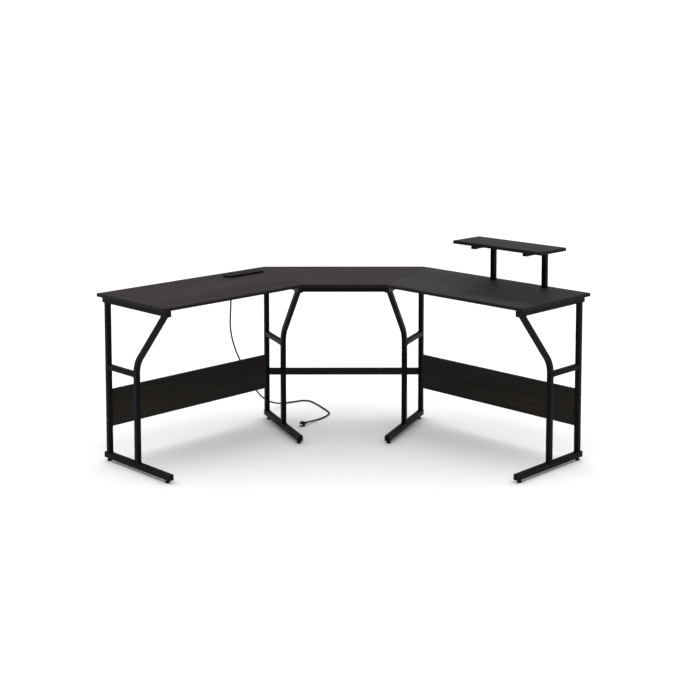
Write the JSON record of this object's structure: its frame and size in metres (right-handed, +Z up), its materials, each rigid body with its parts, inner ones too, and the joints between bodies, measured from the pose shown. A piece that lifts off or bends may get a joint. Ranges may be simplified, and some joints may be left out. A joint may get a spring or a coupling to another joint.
{
  "type": "corner desk",
  "caption": "Corner desk: two wings mitred to a trapezoid corner board on black steel frames, with modesty panels, a raised shelf, a mains strip and levelling feet.",
  "frame": {"origin": "on the floor under the middle of the desk's box, measured without the mains cord", "axes": "+X along the desk's longest extent, towards the wing with the shelf; +Y to the rear, where the corner board's straight edge is; +Z up"},
  "size_m": [2.1262, 1.2756, 0.921],
  "materials": {
    "laminate": "satin dark espresso wood-grain laminate",
    "steel": "satin black powder coat",
    "cap_plastic": "matte black moulded plastic",
    "foot_plastic": "matte black moulded plastic",
    "strip_plastic": "fine-textured black ABS",
    "socket_plastic": "smooth black moulded plastic",
    "cord_pvc": "black PVC",
    "pin_metal": "nickel-plated brass"
  },
  "bodies": {
    "root": {"corner_top": "laminate", "left_top": "laminate", "right_top": "laminate", "left_modesty_panel": "laminate", "right_modesty_panel": "laminate", "corner_rear_bar": "laminate", "shelf_board": "laminate", "corner_front_rail": "steel", "left_outer_foot_bar": "steel", "left_outer_top_bar": "steel", "left_outer_rear_tube": "steel", "left_outer_front_tube": "steel", "left_outer_cross_tube": "steel", "left_outer_front_end_cap": "cap_plastic", "left_outer_rear_end_cap": "cap_plastic", "left_inner_foot_bar": "steel", "left_inner_top_bar": "steel", "left_inner_rear_tube": "steel", "left_inner_front_tube": "steel", "left_inner_cross_tube": "steel", "left_inner_front_end_cap": "cap_plastic", "left_inner_rear_end_cap": "cap_plastic", "right_inner_foot_bar": "steel", "right_inner_top_bar": "steel", "right_inner_rear_tube": "steel", "right_inner_front_tube": "steel", "right_inner_cross_tube": "steel", "right_inner_front_end_cap": "cap_plastic", "right_inner_rear_end_cap": "cap_plastic", "right_outer_foot_bar": "steel", "right_outer_top_bar": "steel", "right_outer_rear_tube": "steel", "right_outer_front_tube": "steel", "right_outer_cross_tube": "steel", "right_outer_front_end_cap": "cap_plastic", "right_outer_rear_end_cap": "cap_plastic", "shelf_inner_post": "steel", "shelf_inner_arm": "steel", "shelf_outer_post": "steel", "shelf_outer_arm": "steel", "power_strip_housing": "strip_plastic", "power_strip_face": "strip_plastic", "power_strip_outlet_1": "socket_plastic", "power_strip_outlet_2": "socket_plastic", "power_strip_outlet_3": "socket_plastic", "power_strip_usb_module": "socket_plastic", "cord_strain_relief": "cord_pvc", "power_cord": "cord_pvc", "power_plug": "cord_pvc", "plug_blade_1": "pin_metal", "plug_blade_2": "pin_metal", "plug_earth_pin": "pin_metal"},
    "left_outer_rear_levelling_foot": {"left_outer_rear_levelling_foot": "foot_plastic"},
    "left_outer_front_levelling_foot": {"left_outer_front_levelling_foot": "foot_plastic"},
    "left_inner_rear_levelling_foot": {"left_inner_rear_levelling_foot": "foot_plastic"},
    "left_inner_front_levelling_foot": {"left_inner_front_levelling_foot": "foot_plastic"},
    "right_inner_rear_levelling_foot": {"right_inner_rear_levelling_foot": "foot_plastic"},
    "right_inner_front_levelling_foot": {"right_inner_front_levelling_foot": "foot_plastic"},
    "right_outer_rear_levelling_foot": {"right_outer_rear_levelling_foot": "foot_plastic"},
    "right_outer_front_levelling_foot": {"right_outer_front_levelling_foot": "foot_plastic"}
  },
  "joints": [
    {"name": "left_outer_rear_foot_screw", "type": "slide", "parent": "root", "child": "left_outer_rear_levelling_foot", "axis": [0, 0, -1], "range_m": [0, 0.01]},
    {"name": "left_outer_front_foot_screw", "type": "slide", "parent": "root", "child": "left_outer_front_levelling_foot", "axis": [0, 0, -1], "range_m": [0, 0.01]},
    {"name": "left_inner_rear_foot_screw", "type": "slide", "parent": "root", "child": "left_inner_rear_levelling_foot", "axis": [0, 0, -1], "range_m": [0, 0.01]},
    {"name": "left_inner_front_foot_screw", "type": "slide", "parent": "root", "child": "left_inner_front_levelling_foot", "axis": [0, 0, -1], "range_m": [0, 0.01]},
    {"name": "right_inner_rear_foot_screw", "type": "slide", "parent": "root", "child": "right_inner_rear_levelling_foot", "axis": [0, 0, -1], "range_m": [0, 0.01]},
    {"name": "right_inner_front_foot_screw", "type": "slide", "parent": "root", "child": "right_inner_front_levelling_foot", "axis": [0, 0, -1], "range_m": [0, 0.01]},
    {"name": "right_outer_rear_foot_screw", "type": "slide", "parent": "root", "child": "right_outer_rear_levelling_foot", "axis": [0, 0, -1], "range_m": [0, 0.01]},
    {"name": "right_outer_front_foot_screw", "type": "slide", "parent": "root", "child": "right_outer_front_levelling_foot", "axis": [0, 0, -1], "range_m": [0, 0.01]}
  ]
}
